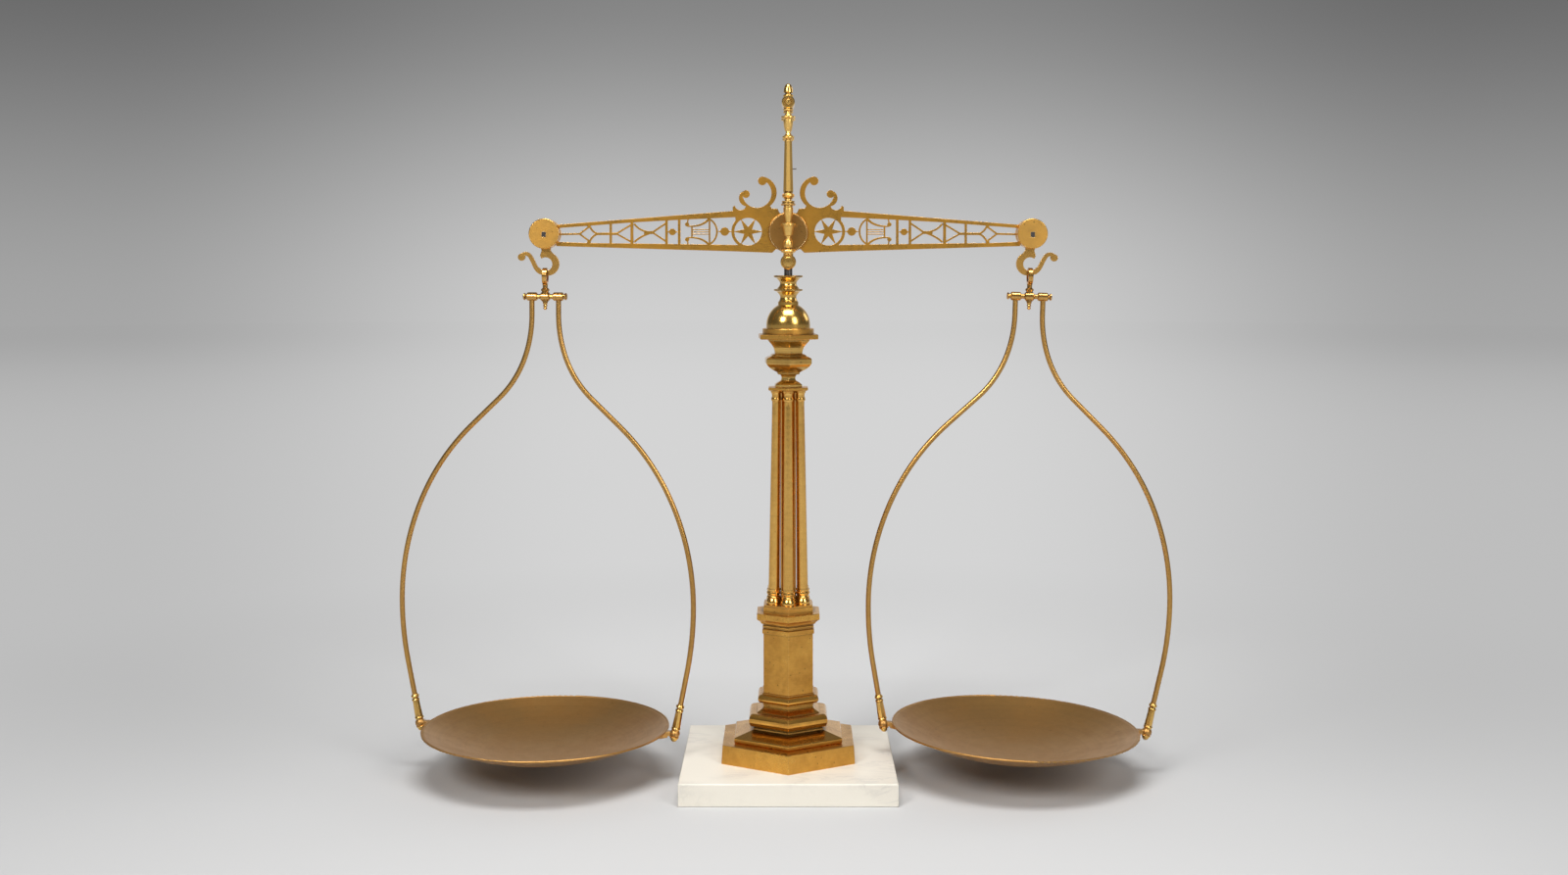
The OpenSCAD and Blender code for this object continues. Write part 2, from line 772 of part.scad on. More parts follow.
module at_side(s, lean = 0, turn = 0) {
    translate([s * arm_l, 0, hang_z]) rotate([0, s * lean, 0]) rotate([0, 0, turn])
        mirror([s < 0 ? 1 : 0, 0, 0]) children();
}

module end_bar() translate([-end_knife_w, end_knife_low]) square([2 * end_knife_w, end_knife_h]);

module end_box() {
    h = box_w / 2;
    difference() {
        rotate([90, 0, 0])
            rotate_extrude()
                polygon([[0, -h], [box_r - box_arris, -h], [box_r, -h + box_arris], [box_r, h - box_arris],
                         [box_r - box_arris, h], [0, h]]);
        translate([-slot_w, -slot_y, -box_r - 1]) cube([2 * slot_w, 2 * slot_y, box_r + 1 + slot_top]);
        translate([-box_r - 1, -beam_t / 2, -box_r - 1]) cube([box_r + 1 - box_tenon, beam_t, 2 * box_r + 2]);
        upright(2 * box_w) end_bar();
    }
}

// Steel bar ground to an upward edge where it crosses the slot
module end_knife() {
    difference() {
        upright(box_w) end_bar();
        upright(2 * slot_y)
            polygon([[0, 0], 2 * [end_knife_w, -end_knife_v], [9, 9], [-9, 9], 2 * [-end_knife_w, -end_knife_v]]);
    }
}

// Hook: a flat piece cut in the plane of the beam, its tail pointing outward

hook_outer = [-2.6, -30.8];
hook_outer_r = 11.9;
hook_ball = [23.8, -23.8];
hook_ball_r = 3.7;
head_w = 6.3;
head_top = 7.6;
seat_w = 3.4;
seat_top = 4.2;
seat_low = -6;

module hook_body() {
    translate([0, head_top - head_w]) circle(head_w);
    polygon([[-head_w, head_top - head_w], [-head_w, -8], [-5.8, -17.2], [-8.4, -20.4], [-2.6, -30.8],
             [3.7, -25.1], [5, -22.4], [3.3, -17.2], [head_w, -8], [head_w, head_top - head_w]]);
    difference() {
        translate(hook_outer) circle(hook_outer_r);
        polygon([[-2.6, -30.8], [5, -17], [15, -17], [15, -34.5], [5.9, -34.5]]);
    }
}

hook_tail = concat(curve([[-4, -39.2], [8.6, -42.6], [9.6, -32.5], [13.6, -25.5]], 9),
                   curve([[14.9, -23.2], [17, -19.9], [20.6, -19.2], [23.6, -22.2]], 6));

module hook() {
    difference() {
        union() {
            upright(hook_t) hook_body();
            upright(hook_t) ribbon(hook_tail, 4.7, 3.8);
            upright(hook_t) translate(hook_ball) circle(hook_ball_r);
        }
        upright(2 * hook_t) translate(hook_inner) circle(hook_inner_r);
        upright(2 * hook_t) translate([-seat_w, seat_low]) square([2 * seat_w, seat_top - seat_low]);
    }
}

// Hardened bearing with a shallow V that rests on the end knife edge
module hook_bearing() {
    upright(hook_t)
        polygon([[-seat_w, seat_top], [-seat_w, -1.2], [0, gap], [seat_w, -1.2], [seat_w, seat_top]]);
}

// Swivel eye: a ring on the hook, a turned neck and a shank through the crossbar

hub_r = 3.4;
hub_low = -bar_drop - 5;
hub_top = -bar_drop + 5.3;
shank_end = hub_low - 3;

module eye() {
    neck_top = eye_drop + eye_r - 0.6;
    collar_low = hub_top + gap;
    difference() {
        union() {
            translate([0, 0, -eye_drop]) rotate([0, 90, 0])
                turned([[eye_r - 0.5, -eye_w], [eye_r, -eye_w + 0.5], [eye_r, eye_w - 0.5], [eye_r - 0.5, eye_w]]);
            turned([[shank_r, shank_end], [shank_r, collar_low], [3.6, collar_low], [4.3, collar_low + 0.7],
                    [4.3, collar_low + 2.1], [3.5, collar_low + 2.9], [2.6, collar_low + 3.4],
                    [2.6, -neck_top - 0.8], [3.4, -neck_top]]);
        }
        translate([0, 0, -eye_drop]) rotate([0, 90, 0]) cylinder(r = eye_hole_r, h = 4 * eye_w, center = true);
    }
}

module drop_nut() {
    top = hub_low - gap;
    difference() {
        turned(concat([[0.4, top - 8.5]], swell([0.9, top - 8.3], [1.3, top - 5.6], 1, 7),
                      bead(1.5, top - 5.2, top - 3.2, 0.8, 5), [[1.9, top - 2.9], [2.6, top - 1.4], [2.6, top]]));
        translate([0, 0, shank_end]) cylinder(r = shank_r, h = 10);
    }
}

// Crossbar: centre barrel with a seat for the swivel, necks, and a pin for the two end barrels

pin_end = 20.6;
centre_half = 5;

module crossbar() {
    difference() {
        union() {
            translate([0, 0, -bar_drop]) rotate([0, 90, 0])
                turned([[pin_r, -pin_end], [pin_r, -barrel_x0 + gap], [2.5, -barrel_x0 + gap], [2.5, -centre_half],
                        [3.6, -centre_half + 0.4], [barrel_r, -centre_half + 1.3], [barrel_r, centre_half - 1.3],
                        [3.6, centre_half - 0.4], [2.5, centre_half], [2.5, barrel_x0 - gap],
                        [pin_r, barrel_x0 - gap], [pin_r, pin_end]]);
            translate([0, 0, hub_low]) cylinder(r = hub_r, h = hub_top - hub_low);
        }
        translate([0, 0, hub_low - 1]) cylinder(r = shank_r + gap, h = hub_top - hub_low + 2);
    }
}

module end_knobs() {
    knob_start = barrel_x1 + gap;
    translate([0, 0, -bar_drop])
        for (s = [0, 180]) rotate([0, 0, s])
            difference() {
                rotate([0, 90, 0])
                    turned([[2.6, knob_start], [2.3, knob_start + 1.2], [3.6, knob_start + 1.9],
                            [3.7, knob_start + 2.8], [2.9, knob_start + 3.6], [1.2, knob_start + 3.9]]);
                rotate([0, 90, 0]) cylinder(r = pin_r, h = pin_end);
            }
}

module barrels() {
    mid = (barrel_x0 + barrel_x1) / 2;
    half = (barrel_x1 - barrel_x0) / 2;
    translate([0, 0, -bar_drop])
        for (s = [-1, 1]) translate([s * mid, 0, 0])
            difference() {
                rotate([0, 90, 0])
                    turned([[3.4, -half], [3.9, -half + 0.4], [barrel_r, -half + 1.2], [barrel_r, half - 1.2],
                            [3.9, half - 0.4], [3.4, half]]);
                rotate([0, 90, 0]) cylinder(r = pin_r + gap, h = 4 * half, center = true);
                translate([s * (bow_x - mid), 0, -barrel_r - 1]) cylinder(r = bow_r, h = barrel_r + 1 - rod_inset);
            }
}

rod_inset = 2.7;

// Bow rods, each a wire of straight lengths and bends that meet without a kink
// Heading 0 is straight down and a positive turn bends the wire outward

bow_x = 14;
bow_bend1 = [129, 19];
bow_bend2 = [108, 27.5];
bow_bend3 = [235, -23];
bow_bend4 = [260, -23.3];
bow_bend5 = [330, -11.6];
bow_end = 33.6;
head2 = bow_bend1[1];
head3 = head2 + bow_bend2[1];
head4 = head3 + bow_bend3[1];
head5 = head4 + bow_bend4[1];
head6 = head5 + bow_bend5[1];

// The lug's eye lies on the line of the wire, socket_l below the socket's top
socket_l = 30.4;
rod_in_socket = 6;
lug_reach = 9.6;
lug_sink = 1.4;
lug_eye = [pan_r + lug_reach, pan_z - hang_z - lug_sink];

function line_step(head, l) = l * [sin(head), -cos(head)];
function arc_step(head, bend) =
    sign(bend[1]) * bend[0] * ([cos(head), sin(head)] - [cos(head + bend[1]), sin(head + bend[1])]);

// Straight lengths that bring the wire from the crossbar to the pan's lug
bow_top = [bow_x, -bar_drop - rod_inset];
bow_bends = arc_step(0, bow_bend1) + arc_step(head2, bow_bend2) + arc_step(head3, bow_bend3)
    + arc_step(head4, bow_bend4) + arc_step(head5, bow_bend5) + line_step(head6, bow_end + socket_l);
bow_left = lug_eye - bow_top - bow_bends;
bow_middle = bow_left[0] / sin(head3);
bow_start = -bow_left[1] - bow_middle * cos(head3);

spot1 = bow_top + line_step(0, bow_start);
spot2 = spot1 + arc_step(0, bow_bend1);
spot3 = spot2 + arc_step(head2, bow_bend2);
spot4 = spot3 + line_step(head3, bow_middle);
spot5 = spot4 + arc_step(head3, bow_bend3);
spot6 = spot5 + arc_step(head4, bow_bend4);
spot7 = spot6 + arc_step(head5, bow_bend5);

// Lengths marked slim are a hair thinner and run a little way into their neighbours
slim_r = bow_r - 0.02;
lap = 0.3;

module wire_line(spot, head, l, slim = false) {
    more = slim ? lap : 0;
    start = spot - line_step(head, more);
    translate([start[0], 0, start[1]]) rotate([0, 180 - head, 0])
        cylinder(r = slim ? slim_r : bow_r, h = l + 2 * more);
}

module wire_arc(spot, head, bend, slim = false) {
    centre = spot + sign(bend[1]) * bend[0] * [cos(head), sin(head)];
    more = slim ? lap / bend[0] * 180 / PI : 0;
    start = (bend[1] > 0 ? 180 + head : head + bend[1]) - more;
    translate([centre[0], 0, centre[1]]) rotate([90, 0, 0]) rotate([0, 0, start])
        rotate_extrude(angle = abs(bend[1]) + 2 * more) translate([bend[0], 0]) circle(slim ? slim_r : bow_r);
}

module bow() {
    wire_line(bow_top, 0, bow_start);
    wire_arc(spot1, 0, bow_bend1, slim = true);
    wire_arc(spot2, head2, bow_bend2);
    wire_line(spot3, head3, bow_middle, slim = true);
    wire_arc(spot4, head3, bow_bend3);
    wire_arc(spot5, head4, bow_bend4, slim = true);
    wire_arc(spot6, head5, bow_bend5);
    wire_line(spot7, head6, bow_end + rod_in_socket - lap, slim = true);
}

// Sockets, lugs and pan

stud_r = 1.8;
lug_top = 3.4;
lug_low = -3;
stud_low = -7;

module on_lug_axis() translate([lug_eye[0], 0, lug_eye[1]]) rotate([0, -head6, 0]) children();

module both_ends() {
    children();
    rotate([0, 0, 180]) children();
}

module socket() {
    on_lug_axis()
        difference() {
            union() {
                turned(concat([[stud_r, stud_low], [stud_r, lug_top], [3.6, lug_top], [3.6, lug_top + 0.8]],
                              bead(3.7, 4.4, 6.8, 0.9, 5), [[3.2, 7.2], [3.2, 22.6]],
                              bead(3.2, 22.8, 25.4, 0.9, 5), [[2.95, 25.7], [2.95, 26.3]],
                              bead(3.3, 26.5, 29.4, 0.9, 5), [[3.1, 29.8], [3.05, socket_l]]));
                translate([0, 0, 7]) cylinder(r1 = 4.2, r2 = 3.6, h = 15.8, $fn = 8);
            }
            translate([0, 0, socket_l - rod_in_socket]) cylinder(r = bow_r, h = 20);
        }
}

module sockets() {
    both_ends() socket();
}

module pan_nuts() {
    both_ends()
        on_lug_axis()
            difference() {
                turned(concat([[0.6, lug_low - 5.4]], [for (i = [1:4]) [3.6 * sin(i * 20), lug_low - 1.6 - 3.8 * cos(i * 20)]],
                              [[3.7, lug_low - 1.4], [4.7, lug_low - 1.2], [4.7, lug_low]]));
                translate([0, 0, stud_low]) cylinder(r = stud_r, h = 20);
            }
}

rim_bead = 1;
pan_floor = pan_z - hang_z;
bowl_r = (pan_r * pan_r + pan_depth * pan_depth) / (2 * pan_depth);
bowl_z = pan_floor - pan_depth + bowl_r;

module rim_ring()
    translate([0, 0, pan_floor - 0.2]) rotate_extrude($fn = 180) translate([pan_r - 0.5, 0]) circle(rim_bead, $fn = 32);

// Everything that the pan's outside fills, so that a lug can be cut to lie on it
module pan_body() {
    translate([0, 0, bowl_z]) sphere(r = bowl_r, $fn = 240);
    rim_ring();
}

module lug() {
    x0 = pan_r - 9;
    x1 = lug_eye[0];
    difference() {
        union() {
            intersection() {
                upright(30)
                    polygon(concat([[x1, lug_eye[1] + 2.6], [x1 - 6, lug_eye[1] + 2.4], [pan_r, pan_floor + 0.6],
                                    [x0, pan_floor + 0.6], [x0, pan_floor - 6.4]],
                                   swell([pan_r - 4, pan_floor - 5.6], [x1, lug_eye[1] - 2.6], 0, 3)));
                translate([0, 0, pan_floor - 12]) linear_extrude(30)
                    polygon([[x1, 2.6], [x1 - 5.4, 2.7], [pan_r + 1.4, 3.8], [pan_r - 2, 5.8], [x0, 6.2], [x0, -6.2],
                             [pan_r - 2, -5.8], [pan_r + 1.4, -3.8], [x1 - 5.4, -2.7], [x1, -2.6]]);
            }
            on_lug_axis() turned(concat([[4, lug_low]], swell([4.1, lug_low + 0.2], [4.1, lug_top - 0.2], 1, 7),
                                        [[4, lug_top]]));
        }
        pan_body();
        on_lug_axis() translate([0, 0, -20]) cylinder(r = stud_r, h = 40);
        on_lug_axis() translate([0, 0, lug_top]) cylinder(r = 7, h = 10);
        on_lug_axis() translate([0, 0, lug_low - 10]) cylinder(r = 7, h = 10);
    }
}

module lugs() {
    both_ends() lug();
}

module pan() {
    intersection() {
        translate([0, 0, bowl_z]) difference() {
            sphere(r = bowl_r, $fn = 240);
            sphere(r = bowl_r - pan_t, $fn = 240);
        }
        translate([0, 0, pan_floor - pan_depth - 1]) cylinder(r = pan_r + 2, h = pan_depth + 1);
    }
    rim_ring();
}

// Left and right copies of each hanging piece

module side_piece(s, tint, lean = 0, turn = 0) color(tint) at_side(s, lean, turn) children();

module end_box_left() side_piece(-1, brass) end_box();
module end_box_right() side_piece(1, brass) end_box();
module end_knife_left() side_piece(-1, steel) end_knife();
module end_knife_right() side_piece(1, steel) end_knife();
module hook_left() side_piece(-1, brass, left_lean) hook();
module hook_right() side_piece(1, brass, right_lean) hook();
module hook_bearing_left() side_piece(-1, steel, left_lean) hook_bearing();
module hook_bearing_right() side_piece(1, steel, right_lean) hook_bearing();
module eye_left() side_piece(-1, bright_brass, left_lean) eye();
module eye_right() side_piece(1, bright_brass, right_lean) eye();
module drop_nut_left() side_piece(-1, bright_brass, left_lean) drop_nut();
module drop_nut_right() side_piece(1, bright_brass, right_lean) drop_nut();
module crossbar_left() side_piece(-1, bright_brass, left_lean, left_turn) crossbar();
module crossbar_right() side_piece(1, bright_brass, right_lean, right_turn) crossbar();
module end_knobs_left() side_piece(-1, bright_brass, left_lean, left_turn) end_knobs();
module end_knobs_right() side_piece(1, bright_brass, right_lean, right_turn) end_knobs();
module barrels_left() side_piece(-1, bright_brass, left_lean, left_turn) barrels();
module barrels_right() side_piece(1, bright_brass, right_lean, right_turn) barrels();
module bow_outer_left() side_piece(-1, brass, left_lean, left_turn) bow();
module bow_outer_right() side_piece(1, brass, right_lean, right_turn) bow();
module bow_inner_left() side_piece(-1, brass, left_lean, left_turn) rotate([0, 0, 180]) bow();
module bow_inner_right() side_piece(1, brass, right_lean, right_turn) rotate([0, 0, 180]) bow();
module sockets_left() side_piece(-1, bright_brass, left_lean, left_turn) sockets();
module sockets_right() side_piece(1, bright_brass, right_lean, right_turn) sockets();
module pan_nuts_left() side_piece(-1, bright_brass, left_lean, left_turn) pan_nuts();
module pan_nuts_right() side_piece(1, bright_brass, right_lean, right_turn) pan_nuts();
module lugs_left() side_piece(-1, dull_bronze, left_lean, left_turn) lugs();
module lugs_right() side_piece(1, dull_bronze, right_lean, right_turn) lugs();
module pan_left() side_piece(-1, dull_bronze, left_lean, left_turn) pan();
module pan_right() side_piece(1, dull_bronze, right_lean, right_turn) pan();

marble_base();
foot_plate();
plinth();
pedestal();
pedestal_cap();
column_core();
colonnettes();
capital_plate();
urn();
gallery_plate();
dome();
collar();
tie_rod();
tie_nut();
lower_boss();
upper_boss();
lower_boss_screws();
upper_boss_screws();
shear_front();
shear_back();
bearing_front();
bearing_back();
index_pin();
acorn_finial();
beam_plate();
disc_front();
disc_back();
centre_knife();
pointer();
end_box_left();
end_box_right();
end_knife_left();
end_knife_right();
hook_left();
hook_right();
hook_bearing_left();
hook_bearing_right();
eye_left();
eye_right();
drop_nut_left();
drop_nut_right();
crossbar_left();
crossbar_right();
end_knobs_left();
end_knobs_right();
barrels_left();
barrels_right();
bow_outer_left();
bow_outer_right();
bow_inner_left();
bow_inner_right();
sockets_left();
sockets_right();
pan_nuts_left();
pan_nuts_right();
lugs_left();
lugs_right();
pan_left();
pan_right();
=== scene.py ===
# %% [markdown]
# # A brass balance scale on a marble slab
# The scale was modelled part by part in CAD: a marble slab, a six-sided brass stand, a pierced
# beam and two pans on bent rods. This notebook loads that model and
# gives every part the finish it has on the real object: satin lacquered brass, polished turned
# brass, brushed and tarnished pans, oiled steel and honed marble. The shapes are all in the
# model already, so nearly all the work here is in light and in materials made from nodes.

# %% Load the model
import math
import bpy
import numpy as np
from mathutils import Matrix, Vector


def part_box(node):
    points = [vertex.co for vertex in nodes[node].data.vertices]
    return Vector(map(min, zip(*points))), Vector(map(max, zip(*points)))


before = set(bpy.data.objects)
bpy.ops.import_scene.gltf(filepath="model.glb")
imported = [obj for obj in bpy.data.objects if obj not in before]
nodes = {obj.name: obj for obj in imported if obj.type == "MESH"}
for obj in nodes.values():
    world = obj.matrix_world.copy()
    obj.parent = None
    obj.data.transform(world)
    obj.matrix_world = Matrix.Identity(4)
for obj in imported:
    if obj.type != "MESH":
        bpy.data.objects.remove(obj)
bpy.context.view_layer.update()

# %% [markdown]
# ## Camera
# The picture was taken almost level, from a little over the beam, with the lens shifted down so
# that the column stays upright. A camera that is only tilted would make the column lean in at
# its foot, and one that is only shifted would frame other views badly. So nearly all the framing
# is shift and a small tilt does the rest. The focal length is given in pixels of the picture,
# because that is how it was measured, and is turned into millimetres of lens.

# %% Camera
PICTURE_W = 1600          # width of the photograph, in pixels
FOCAL_PIXELS = 1751       # focal length, in pixels of the photograph
SENSOR = 36.0             # width of the sensor, in mm
TILT_DOWN = math.radians(0.78)

lens = bpy.data.cameras.new("picture_lens")
lens.sensor_width = SENSOR
lens.lens = SENSOR * FOCAL_PIXELS / PICTURE_W
lens.shift_x = -0.0027
lens.shift_y = -0.096
camera = bpy.data.objects.new("camera", lens)
camera.location = (0, -1.746, 0.5218)
camera.rotation_euler = (math.pi / 2 - TILT_DOWN, 0, 0)
bpy.context.scene.collection.objects.link(camera)
bpy.context.scene.camera = camera
bpy.context.scene.view_settings.view_transform = "Standard"
print(f"lens {lens.lens:.1f} mm, tilted down {math.degrees(TILT_DOWN):.2f} degrees")


# %% [markdown]
# ## Helpers for node trees
# A material is a small network. Three helpers keep the networks readable: one adds a node and
# fills in its inputs, one does arithmetic, and one fades a value from 0 to 1 between two limits.
# An input may be given a number, a colour, or another node's output, which is then linked.

# %% Node helpers
def put(tree, value, socket):
    """Links an output to a socket, or writes a plain value on it."""
    if isinstance(value, bpy.types.NodeSocket):
        tree.links.new(value, socket)
    elif hasattr(socket.default_value, "__len__") and len(socket.default_value) == 4 and len(value) == 3:
        socket.default_value = (*value, 1.0)
    else:
        socket.default_value = value


def add(tree, kind, inputs=None, **settings):
    """Adds one node of a kind, with its settings and its inputs by name or number."""
    made = tree.nodes.new("ShaderNode" + kind)
    for name, value in settings.items():
        setattr(made, name, value)
    for name, value in (inputs or {}).items():
        put(tree, value, made.inputs[name])
    return made


def calc(tree, operation, first, second=0.0, third=0.0):
    """One step of arithmetic on numbers."""
    made = add(tree, "Math", {0: first, 1: second}, operation=operation)
    if len(made.inputs) > 2:
        put(tree, third, made.inputs[2])
    return made.outputs[0]


def fade(tree, value, low, high, start=0.0, end=1.0):
    """start where value is at low, end where it is at high, with a smooth step between."""
    made = add(tree, "MapRange", {"Value": value, "From Min": low, "From Max": high,
                                  "To Min": start, "To Max": end},
               interpolation_type="SMOOTHSTEP", clamp=True)
    return made.outputs["Result"]


def blend_colour(tree, share, first, second, how="MIX"):
    """first and second mixed: share 0 is first, share 1 is second (or second worked onto first)."""
    made = add(tree, "Mix", {0: share, 6: first, 7: second}, data_type="RGBA", blend_type=how)
    return made.outputs[2]


def noise(tree, vector, scale, detail=3.0, roughness=0.55, distortion=0.0):
    """Cloudy noise from 0 to 1 at a scale in waves for each metre."""
    made = add(tree, "TexNoise", {"Vector": vector, "Scale": scale, "Detail": detail,
                                  "Roughness": roughness, "Distortion": distortion})
    return made.outputs["Fac"]


print("helpers ready")


# %% [markdown]
# ## Shared effects as node groups
# Old brass shows a few things on every part, only more or less of each: clouds of tarnish under
# the lacquer, fine lines left by the brush or by the lathe, and edges rubbed bright by polishing
# cloths. To these the materials add a painted highlight on the same edges and painted shade in the
# inner corners. Each is one node group with named inputs, so that a material is put together from
# them with its own values. An image texture could show the same, but it would blur close up and
# would need unwrapping.

# %% A new, empty node group
KINDS = {"value": "NodeSocketFloat", "vector": "NodeSocketVector", "colour": "NodeSocketColor"}


def new_group(name, inputs, outputs):
    """A shader node group with named inputs and outputs, given as name: kind."""
    group = bpy.data.node_groups.new(name, "ShaderNodeTree")
    for socket, kind in inputs.items():
        group.interface.new_socket(socket, in_out="INPUT", socket_type=KINDS[kind])
    for socket, kind in outputs.items():
        group.interface.new_socket(socket, in_out="OUTPUT", socket_type=KINDS[kind])
    came = group.nodes.new("NodeGroupInput")
    goes = group.nodes.new("NodeGroupOutput")
    return group, came.outputs, goes.inputs


def use(tree, group, inputs):
    """Places a group in a material and returns its outputs."""
    made = tree.nodes.new("ShaderNodeGroup")
    made.node_tree = group
    for name, value in inputs.items():
        put(tree, value, made.inputs[name])
    return made.outputs


# %% [markdown]
# ### Tarnish
# Lacquered brass goes brown in soft clouds a few centimetres across, with finer mottling inside
# them and a few small dark spots where the lacquer has failed. Two noises of different scale
# give the clouds and the mottling, and cells of a Voronoi pattern that pass a threshold give the
# spots. The group gives back the colour and a mask that says how far each place has aged, which
# the material also uses to make aged places duller.

# %% Tarnish group
tarnish, came, goes = new_group(
    "tarnish",
    {"Vector": "vector", "Cloud Scale": "value", "Mottle Scale": "value", "Spot Scale": "value",
     "Amount": "value", "Spots": "value", "Clean": "colour", "Aged": "colour", "Dark": "colour"},
    {"Color": "colour", "Age": "value"})
clouds = fade(tarnish, noise(tarnish, came["Vector"], came["Cloud Scale"], 4.0, 0.6, 0.4), 0.36, 0.66)
mottle = fade(tarnish, noise(tarnish, came["Vector"], came["Mottle Scale"], 5.0, 0.65, 0.2), 0.35, 0.7)
age = calc(tarnish, "MULTIPLY", calc(tarnish, "ADD", calc(tarnish, "MULTIPLY", clouds, 0.6),
                                     calc(tarnish, "MULTIPLY", mottle, 0.4)), came["Amount"])
cells = add(tarnish, "TexVoronoi", {"Vector": came["Vector"], "Scale": came["Spot Scale"]})
spot_size = calc(tarnish, "MULTIPLY", noise(tarnish, came["Vector"], came["Mottle Scale"], 2.0), 0.3)
inside = calc(tarnish, "LESS_THAN", cells.outputs["Distance"], calc(tarnish, "SUBTRACT", spot_size, 0.06))
spots = calc(tarnish, "MULTIPLY", inside, came["Spots"])
aged_colour = blend_colour(tarnish, age, came["Clean"], came["Aged"])
put(tarnish, blend_colour(tarnish, spots, aged_colour, came["Dark"]), goes["Color"])
put(tarnish, calc(tarnish, "MAXIMUM", age, spots), goes["Age"])
print(tarnish.name, "has", len(tarnish.nodes), "nodes")

# %% [markdown]
# ### Fine lines
# A file, a brush or emery leaves lines along the way it was moved. Noise that is squeezed across
# the lines and drawn out along them gives such lines. On turned work the lines run round the
# axis, so there the noise reads the distance from the axis and the height, and not the place.

# %% Brush line and lathe line groups
brush_lines, came, goes = new_group(
    "brush lines", {"Vector": "vector", "Stretch": "vector"}, {"Lines": "value"})
drawn_out = add(brush_lines, "VectorMath", {0: came["Vector"], 1: came["Stretch"]}, operation="MULTIPLY")
put(brush_lines, noise(brush_lines, drawn_out.outputs[0], 1.0, 4.0, 0.7), goes["Lines"])

lathe_lines, came, goes = new_group(
    "lathe lines", {"Vector": "vector", "Scale": "value"}, {"Lines": "value", "Radius": "value"})
split = add(lathe_lines, "SeparateXYZ", {0: came["Vector"]}).outputs
flat = add(lathe_lines, "CombineXYZ", {0: split[0], 1: split[1]})
radius = add(lathe_lines, "VectorMath", {0: flat.outputs[0]}, operation="LENGTH").outputs["Value"]
ring_place = add(lathe_lines, "CombineXYZ", {0: radius, 2: split[2]})
put(lathe_lines, noise(lathe_lines, ring_place.outputs[0], came["Scale"], 4.0, 0.7), goes["Lines"])
put(lathe_lines, radius, goes["Radius"])
print(brush_lines.name, "and", lathe_lines.name)

# %% [markdown]
# ### Bright edges, partly rubbed wear and partly painted highlight
# Polishing takes the lacquer off the sharp edges first, and the sharp edges also catch the light, so every
# arris of the mouldings gets a thin line of a paler colour, which is partly rubbed wear and partly a painted
# highlight. The Bevel node gives the normal as it would be if the edge were rounded.
# Where that differs from the face's own normal there is an edge, and the same rounded normal
# makes the edge catch the light. Real bevels would be better still, but the model's triangles may not be
# changed.

# %% Edge wear and highlight group
edge_wear_and_highlight, came, goes = new_group(
    "edge wear and highlight", {"Radius": "value", "Sharpness": "value"}, {"Edge": "value", "Normal": "vector"})
rounded = add(edge_wear_and_highlight, "Bevel", {"Radius": came["Radius"]}, samples=6)
faced = add(edge_wear_and_highlight, "NewGeometry")
same = add(edge_wear_and_highlight, "VectorMath", {0: rounded.outputs[0], 1: faced.outputs["Normal"]},
           operation="DOT_PRODUCT")
turned_away = calc(edge_wear_and_highlight, "SUBTRACT", 1.0, same.outputs["Value"])
strength = add(edge_wear_and_highlight, "Math", {0: turned_away, 1: came["Sharpness"]}, operation="MULTIPLY",
               use_clamp=True)
put(edge_wear_and_highlight, strength.outputs[0], goes["Edge"])
put(edge_wear_and_highlight, rounded.outputs[0], goes["Normal"])
print(edge_wear_and_highlight.name, "ready")

# %% [markdown]
# ### Painted shade in the corners
# The inner corners are darkened towards near black, which is painted shade, and made a little rougher.
# Ambient occlusion tells how closed in a place is, here within a few millimetres and on the part alone.

# %% Painted corner shade group
corner_dirt, came, goes = new_group(
    "corner dirt", {"Reach": "value", "Amount": "value"}, {"Corner Shade": "value"})
closed_in = add(corner_dirt, "AmbientOcclusion", {"Distance": came["Reach"]}, samples=6, only_local=True)
hidden = fade(corner_dirt, closed_in.outputs["AO"], 0.95, 0.35)
put(corner_dirt, calc(corner_dirt, "MULTIPLY", hidden, came["Amount"]), goes["Corner Shade"])
print(corner_dirt.name, "ready")

# %% [markdown]
# ## Brass
# Every brass part uses one recipe with its own values. Clean brass is a strong yellow that goes
# towards brown where it has aged. Metallic stays at 1, because lacquer this thin doesn't hide
# the metal, and the age mask only makes the surface rougher. The lacquer itself is a weak coat,
# which makes the brightest places a little whiter. Lines come from the brush or from the lathe,
# and they go into the height of a Bump node. They are only a few thousandths of a millimetre
# deep: with more, the lines are as steep as knurling and the metal looks grainy from afar.
# Flat-sided parts also have bright edges, partly rubbed wear and partly painted highlight. Round parts have
# no arris worth rounding, and there the Bevel node would only add noise, so they go without it.

# %% Brass recipe
EDGE_ROUND = 0.0003       # radius of a rubbed edge, in metres
CORNER_SHADE_REACH = 0.006
LACQUER = 0.2             # weight of the clear coat over the metal
BLACKISH = (0.032, 0.020, 0.008)


